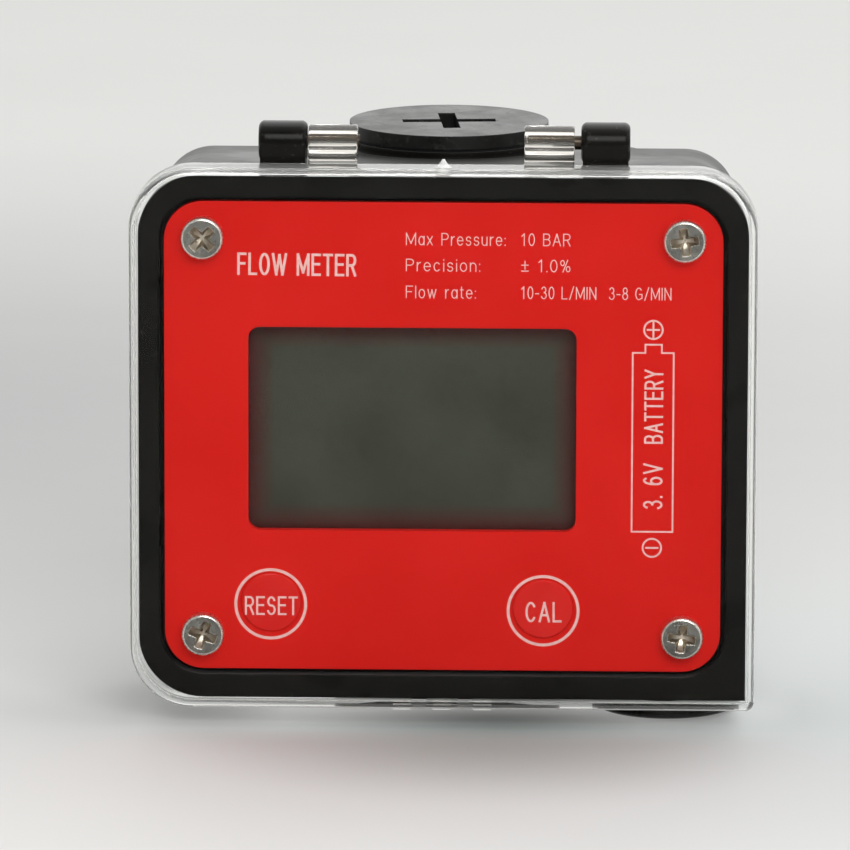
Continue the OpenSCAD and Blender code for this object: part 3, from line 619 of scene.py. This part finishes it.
def print_buttons():
    """The ring around each button is on the panel, and the word is on the button."""
    radius, line = 5.02, 0.42
    ring("reset_ring", -24.65, -24.55, radius, line, PANEL_LO.y, "housing")
    ring("cal_ring", 14.45, -25.25, radius, line, PANEL_LO.y, "housing")
    label("reset_word", "RESET", -28.35, -26.12, 7.6, 2.75, 0.29, "reset_key", RESET_FACE_Y)
    label("cal_word", "CAL", 11.92, -26.88, 5.2, 3.0, 0.32, "cal_key", CAL_FACE_Y)
    for name, key in (("reset_gap", "reset_button"), ("cal_gap", "cal_button")):
        gap_filler(name, key)


# ---- mesh building ----

def modify(piece, kind, **settings):
    """Adds a modifier and applies it at once."""
    change = piece.modifiers.new(kind.lower(), kind)
    for key, value in settings.items():
        setattr(change, key, value)
    bpy.context.view_layer.update()
    made = bpy.data.meshes.new_from_object(piece.evaluated_get(bpy.context.evaluated_depsgraph_get()))
    piece.modifiers.clear()
    piece.data = made
    return piece


def combine(piece, tool, operation):
    """Joins tool to piece, or cuts it away, and removes tool."""
    modify(piece, "BOOLEAN", operation=operation, object=tool, solver="EXACT")
    bpy.data.objects.remove(tool)
    return piece


def smooth(piece, angle=35):
    """Smooth shading, but sharp across edges over the angle."""
    piece.data.shade_smooth()
    piece.data.set_sharp_from_angle(angle=math.radians(angle))
    return piece


def stacked(name, loops):
    """A closed mesh through loops of points that have the same count."""
    count = len(loops[0])
    vertices = [v for loop in loops for v in loop]
    faces = []
    for start in range(0, (len(loops) - 1) * count, count):
        for i in range(count):
            j = (i + 1) % count
            faces.append((start + i, start + j, start + count + j, start + count + i))
    last = (len(loops) - 1) * count
    faces += [tuple(range(count - 1, -1, -1)), tuple(range(last, last + count))]
    piece = mesh_piece(name, vertices, faces)
    build = bmesh.new()
    build.from_mesh(piece.data)
    bmesh.ops.recalc_face_normals(build, faces=build.faces)
    build.to_mesh(piece.data)
    build.free()
    return piece


def rod(name, centre, radius, start, end, count=64):
    """A cylinder along X from start to end."""
    points = circle_points(centre.y, centre.z, radius, count)
    return stacked(name, [[Vector((x, y, z)) for y, z in points] for x in (start, end)])


def block(name, low, high):
    loops = [[Vector((x, low[1], z)), Vector((x, high[1], z))] for x, z in
             ((low[0], low[2]), (high[0], low[2]), (high[0], high[2]), (low[0], high[2]))]
    return stacked(name, [[loop[k] for loop in loops] for k in (0, 1)])


# ---- clear cover ----

COVER_LO, COVER_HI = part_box("clear_cover")
COVER_WALL = 0.9 * MM
COVER_PLATE = 1.2 * MM
COVER_CORNER = 9.0 * MM
COVER_BACK = COVER_LO.y + 5.2 * MM
SKIRT_TOP = 2 * PANEL_MID.z - COVER_LO.z - 0.25 * MM
KNUCKLE_SPANS = ((-19.35, -12.35), (11.43, 18.57))
PAD_X, PAD_HALF, PAD_T = 5.8 * MM, 1.3 * MM, 0.5 * MM
SLOT_X, SLOT_HALF = 3.3 * MM, 1.05 * MM
PLATE_SLOT, EDGE_SLOT, KNUCKLE_SLOT, GATE_SLOT = range(4)


def cover_loop(inset, y, steps=20):
    """The cover's outline, moved in by inset: rounded, but almost square at the lower right."""
    half_w, half_h = (COVER_HI.x - COVER_LO.x) / 2, SKIRT_TOP - PANEL_MID.z
    points = []
    for k, radius in enumerate((COVER_CORNER, COVER_CORNER, COVER_CORNER, 1.3 * MM)):
        side_x, side_z = ((1, 1), (-1, 1), (-1, -1), (1, -1))[k]
        round_r = max(radius - inset, 0.05 * MM)
        centre_x = side_x * (half_w - inset - round_r)
        centre_z = side_z * (half_h - inset - round_r)
        for i in range(steps + 1):
            a = math.radians(90 * k + 90 * i / steps)
            x, z = centre_x + round_r * math.cos(a), centre_z + round_r * math.sin(a)
            points.append(Vector((x, y, PANEL_MID.z + z)))
    return points


def fillet(inset, y, radius, start, turn, steps=5):
    """(inset, y) pairs along a quarter circle around (inset, y)."""
    angles = [math.radians(start + turn * i / steps) for i in range(steps + 1)]
    return [(inset + radius * math.cos(a), y + radius * math.sin(a)) for a in angles]


def cover_shell():
    front, plate_back = COVER_LO.y, COVER_LO.y + COVER_PLATE
    outer, inner = 0.8 * MM, 0.5 * MM
    profile = [(COVER_PLATE * 3, front)]
    profile += fillet(outer, front + outer, outer, -90, -90)
    profile += fillet(0.2 * MM, COVER_BACK - 0.2 * MM, 0.2 * MM, 180, -90, 3)
    profile += fillet(COVER_WALL - 0.2 * MM, COVER_BACK - 0.2 * MM, 0.2 * MM, 90, -90, 3)
    profile += fillet(COVER_WALL + inner, plate_back + inner, inner, 180, 90)
    profile += [(COVER_PLATE * 3, plate_back)]
    return stacked("clear_shell", [cover_loop(inset, y) for inset, y in profile])


def cover_knuckle(left, right):
    """A hinge knuckle with rounded edges between two places along X, and its web to the skirt."""
    radius = 2.4 * MM
    low, front = SKIRT_TOP - 0.6 * MM, COVER_BACK - 0.6 * MM
    outline = [(front, low), (AXIS.y, low)]
    outline += [(AXIS.y + radius * math.cos(a), AXIS.z + radius * math.sin(a))
                for a in (math.radians(-90 + 6 * i) for i in range(41))]
    outline += [(front, AXIS.z - 0.3 * MM)]
    loops = [[Vector((x, y, z)) for y, z in outline] for x in (left, right)]
    piece = stacked("clear_knuckle", loops)
    return modify(piece, "BEVEL", width=0.35 * MM, segments=3, limit_method="ANGLE",
                  angle_limit=math.radians(50))


def gate_mark():
    """The small cone that moulding leaves on the cover's top edge."""
    base, middle = SKIRT_TOP - 0.1 * MM, COVER_LO.y + 2.6 * MM
    loops = []
    for radius, rise in ((1.35, 0), (1.0, 0.25), (0.55, 0.6), (0.2, 1.2)):
        points = circle_points(0, middle, radius * MM, 24)
        loops.append([Vector((x, y, base + rise * MM)) for x, y in points])
    return stacked("clear_gate", loops)


def cover_slot(face):
    """Which of the cover's four materials a face gets, by where it is and which way it looks."""
    spot, small = face.center, face.area < 3e-5
    if spot.z > SKIRT_TOP + 0.02 * MM:
        return GATE_SLOT if abs(spot.x) < 2 * MM else KNUCKLE_SLOT
    if small and spot.z < COVER_LO.z + PAD_T and abs(spot.x) < PAD_X + PAD_HALF + 0.1 * MM:
        return GATE_SLOT
    rim_x = (COVER_HI.x - COVER_LO.x) / 2 - 1.0 * MM
    rim_z = SKIRT_TOP - PANEL_MID.z - 1.0 * MM
    at_rim = abs(spot.x - PANEL_MID.x) > rim_x or abs(spot.z - PANEL_MID.z) > rim_z
    return EDGE_SLOT if at_rim or abs(face.normal.y) < 0.9 else PLATE_SLOT


def make_cover():
    """The clear cover: plate and skirt with rounded edges, knuckles, gate mark, latch pads and slots."""
    cover = cover_shell()
    for left, right in KNUCKLE_SPANS:
        combine(cover, cover_knuckle(left * MM, right * MM), "UNION")
    combine(cover, gate_mark(), "UNION")
    for x in (-PAD_X, 0, PAD_X):
        low = (x - PAD_HALF, COVER_LO.y + 1 * MM, COVER_LO.z)
        high = (x + PAD_HALF, COVER_BACK, COVER_LO.z + PAD_T)
        combine(cover, block("clear_pad", low, high), "UNION")
    for x in (-SLOT_X, SLOT_X):
        low = (x - SLOT_HALF, COVER_LO.y + 1.8 * MM, COVER_LO.z - 1 * MM)
        high = (x + SLOT_HALF, COVER_BACK + 1 * MM, COVER_LO.z + 1.8 * MM)
        combine(cover, block("clear_slot", low, high), "DIFFERENCE")
    combine(cover, rod("clear_bore", AXIS, 1.05 * MM, -20 * MM, 20 * MM), "DIFFERENCE")
    cover.name = "cover_shell"
    smooth(cover, 30)
    finish_piece(cover, "clear_plastic", "cover")
    for name in ("clear_edge", "clear_knuckle", "clear_gate"):
        cover.data.materials.append(MATERIALS[name])
    for face in cover.data.polygons:
        face.material_index = cover_slot(face)
    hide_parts("clear_cover")


# ---- screws ----

SCREW_LO, SCREW_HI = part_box("face_screws")
HEAD_R = 3.05 * MM
HEAD_T = 1.9 * MM
SHANK_R = 1.5 * MM
HEAD_TURNS = (45, 82, 20, 8)
LIP = 0.16
SCREW_SLOTS = ("screw_steel", "screw_painted_highlight", "screw_recess")


def turned(name, profile, count=72):
    """A solid turned about Y from (radius, y) pairs."""
    loops = []
    for radius, y in profile:
        loops.append([Vector((x, y, z)) for x, z in circle_points(0, 0, radius, count)])
    return stacked(name, loops)


def cross_loop(neck, reach, half, y):
    """A cross of four arms that flare towards their ends."""
    points = []
    for k in range(4):
        c, s = ((1, 0), (0, 1), (-1, 0), (0, -1))[k]
        for along, across in ((reach, -half), (reach * 1.04, 0), (reach, half), (neck, neck)):
            points.append(Vector((c * along - s * across, y, s * along + c * across)))
    return points


def screw_recess():
    """The cross recess, tapering with depth, as a solid to cut away."""
    depths = ((0.74, 2.02, 0.66, -0.3), (0.74, 2.02, 0.66, 0.0), (0.64, 1.9, 0.54, LIP),
              (0.55, 1.6, 0.44, 0.7), (0.42, 0.95, 0.34, 1.1), (0.2, 0.3, 0.15, 1.5))
    return stacked("recess", [cross_loop(*(size * MM for size in row)) for row in depths])


def screw_mesh():
    """A pan-head screw with its head's top at y = 0."""
    edge, crown, long = 0.5 * MM, 0.02 * MM, SCREW_HI.y - SCREW_LO.y
    profile = [(0.4 * HEAD_R, 0), (HEAD_R - edge, crown)]
    for a in (math.radians(15 * i) for i in range(1, 7)):
        profile.append((HEAD_R - edge + edge * math.sin(a), crown + edge - edge * math.cos(a)))
    tip = 0.3 * MM
    profile += [(HEAD_R, HEAD_T), (SHANK_R, HEAD_T), (SHANK_R, long - tip), (SHANK_R - tip, long)]
    head = turned("screw", profile)
    return combine(head, screw_recess(), "DIFFERENCE")


def finish_screw(screw):
    """Darkened flat face as a painted dark reflection, brightened rounded edge and lip of the recess as a
    painted highlight, and a darker recess.
    """
    for name in SCREW_SLOTS:
        screw.data.materials.append(MATERIALS[name])
    for face in screw.data.polygons:
        out, depth = math.hypot(face.center.x, face.center.z), face.center.y
        # Index 1 is the painted highlight on the rounded edge and recess lip; the rest of the face keeps
        # the darkened steel.
        if out > HEAD_R - 0.24 * MM or (0.03 * MM < depth < LIP * MM):
            face.material_index = 1
        elif depth > 0.03 * MM and out < 2.1 * MM:
            face.material_index = 2


def make_screws():
    """One mesh of four screws, each turned as it was left."""
    pattern = smooth(screw_mesh(), 32)
    finish_screw(pattern)
    build = bmesh.new()
    reach_x = (SCREW_HI.x - SCREW_LO.x) / 2 - 3 * MM
    reach_z = (SCREW_HI.z - SCREW_LO.z) / 2 - 3 * MM
    centre = (SCREW_LO + SCREW_HI) / 2
    corners = ((-1, 1), (1, 1), (-1, -1), (1, -1))
    for (side_x, side_z), angle in zip(corners, HEAD_TURNS):
        copy = pattern.data.copy()
        at = Vector((centre.x + side_x * reach_x, SCREW_LO.y, centre.z + side_z * reach_z))
        copy.transform(Matrix.Translation(at) @ Matrix.Rotation(math.radians(angle), 4, "Y"))
        build.from_mesh(copy)
        bpy.data.meshes.remove(copy)
    mesh = bpy.data.meshes.new("screws")
    build.to_mesh(mesh)
    build.free()
    for name in SCREW_SLOTS:
        mesh.materials.append(MATERIALS[name])
    pattern.data = mesh
    pattern.name = "screws"
    smooth(pattern, 32)
    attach(pattern, "housing")
    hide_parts("face_screws")


# ---- studio ----

def make_camera():
    """The camera looks slightly down at the face, a little from the right."""
    target = Vector((-2.57, -32.8, 44.308)) * MM
    turn, rise, roll, far = math.radians(1.484), math.radians(11.157), math.radians(0.14), 1.277
    back = Vector((math.sin(turn) * math.cos(rise), -math.cos(turn) * math.cos(rise), math.sin(rise)))
    right = Vector((math.cos(turn), math.sin(turn), 0))
    up = back.cross(right)
    right_rolled = math.cos(roll) * right + math.sin(roll) * up
    up_rolled = -math.sin(roll) * right + math.cos(roll) * up
    data = bpy.data.cameras.new("camera")
    data.sensor_width, data.lens = 36.0, 378.3
    data.clip_start, data.clip_end = 0.05, 50.0
    camera = bpy.data.objects.new("camera", data)
    axes = Matrix((right_rolled, up_rolled, back)).transposed()
    camera.matrix_world = Matrix.Translation(target + back * far) @ axes.to_4x4()
    bpy.context.scene.collection.objects.link(camera)
    bpy.context.scene.camera = camera


def patch_factor(tree, centre, reach):
    """1 at a place on the floor, fading to 0 at reach across and along it, in metres."""
    scale = (1 / reach[0], 1 / reach[1], 0)
    shift = (-centre[0] * scale[0], -centre[1] * scale[1], 0)
    spot = node(tree, "ShaderNodeMapping", {"Vector": place(tree), "Location": shift, "Scale": scale})
    away = node(tree, "ShaderNodeVectorMath", {0: spot.outputs[0]}, operation="LENGTH").outputs["Value"]
    return node(tree, "ShaderNodeMapRange", {"Value": away, "To Min": 1.0, "To Max": 0.0},
                interpolation_type="SMOOTHSTEP").outputs["Result"]


def add_glow(tree, shader):
    """Painted glow: the floor under the meter gives off faint light, weaker at its middle and none past
    its sides.
    """
    off = math_node(tree, "SUBTRACT", place_along(tree, "X"), 0.003)
    sides = spread(tree, math_node(tree, "ABSOLUTE", off, 0), 0.026, 0.049, 1.0, 0.0)
    under = patch_factor(tree, (0.005, -0.02), (0.1, 0.024))
    middle = patch_factor(tree, (0.008, -0.034), (0.04, 0.03))
    # The painted glow lightens the shade under the meter and stays dark at its middle.
    shade = blend_colour(tree, middle, (0.55, 0.55, 0.54), (0.0, 0.0, 0.0))
    tree.links.new(shade, shader.inputs["Emission Color"])
    tree.links.new(math_node(tree, "MULTIPLY", under, sides), shader.inputs["Emission Strength"])


def floor_paper():
    """Matt paper with painted shadows: greyer behind the meter, around its front and right and just in
    front of it, tinted against the red the panel throws on it, and with a painted glow under it.
    """
    made, tree, shader = material("floor_paper")
    shader.inputs["Specular IOR Level"].default_value = 0.1
    share = spread(tree, noise(tree, 4, 4), 0.35, 0.65)
    paper_tone_with_painted_shadows = blend_colour(tree, share, (0.74, 0.74, 0.725), (0.76, 0.76, 0.745))
    # Painted shadows: grey patches behind the meter, around its front and right, and just in front of it,
    # cooler in tint to cancel the red the panel throws on the paper.
    for centre, reach, shade in (((-0.1, 0.2), (0.34, 0.32), (0.50, 0.50, 0.50)),
                                 ((0.055, -0.03), (0.14, 0.16), (0.645, 0.672, 0.67)),
                                 ((0.008, -0.042), (0.05, 0.042), (0.425, 0.468, 0.455))):
        paper_tone_with_painted_shadows = blend_colour(tree, patch_factor(tree, centre, reach), paper_tone_with_painted_shadows, shade)
    tree.links.new(paper_tone_with_painted_shadows, shader.inputs["Base Color"])
    tree.links.new(spread(tree, noise(tree, 30, 3), 0.3, 0.7, 0.6, 0.75), shader.inputs["Roughness"])
    bump(tree, shader, noise(tree, 900, 2), 0.01 * MM)
    add_glow(tree, shader)
    return made


def make_floor():
    half, z = 6.0, CAD_BOX[0].z - 0.0002
    corners = [(-half, -half, z), (half, -half, z), (half, half, z), (-half, half, z)]
    floor = mesh_piece("floor", corners, [(0, 1, 2, 3)])
    floor.data.materials.append(floor_paper())


def soft_light(name, size, power, place_at, aim):
    data = bpy.data.lights.new(name, "AREA")
    data.shape, data.size, data.size_y, data.energy = "RECTANGLE", *size, power
    light = bpy.data.objects.new(name, data)
    light.location = place_at
    light.rotation_euler = (Vector(aim) - Vector(place_at)).to_track_quat("-Z", "Y").to_euler()
    bpy.context.scene.collection.objects.link(light)


def make_world():
    """White light from all around, weaker from the front."""
    world = bpy.data.worlds.new("studio")
    bpy.context.scene.world = world
    world.use_nodes = True
    tree = world.node_tree
    direction = node(tree, "ShaderNodeTexCoord").outputs["Generated"]
    back = node(tree, "ShaderNodeSeparateXYZ", {0: direction}).outputs["Y"]
    level = spread(tree, back, -0.5, 0.8, 0.42, 1.0)
    shade = blend_colour(tree, level, (0, 0, 0), (1, 1, 0.99))
    tree.links.new(shade, tree.nodes["Background"].inputs["Color"])
    tree.nodes["Background"].inputs["Strength"].default_value = 1.05


def make_studio():
    make_camera()
    make_floor()
    make_world()
    soft_light("top_light", (1.3, 1.2), 2.7, (0.25, 0.5, 0.9), (0, 0, 0.05))
    soft_light("side_light", (0.6, 0.6), 1.5, (0.95, -0.15, 0.55), (0, 0, 0.04))
    soft_light("front_light", (0.8, 0.6), 9.0, (0.25, -1.12, 0.84), (0, -0.05, 0.0))
    bpy.context.scene.view_settings.view_transform = "Standard"


dress_cad_nodes()
print_title()
print_specification()
print_battery()
print_buttons()
make_cover()
make_screws()
make_studio()
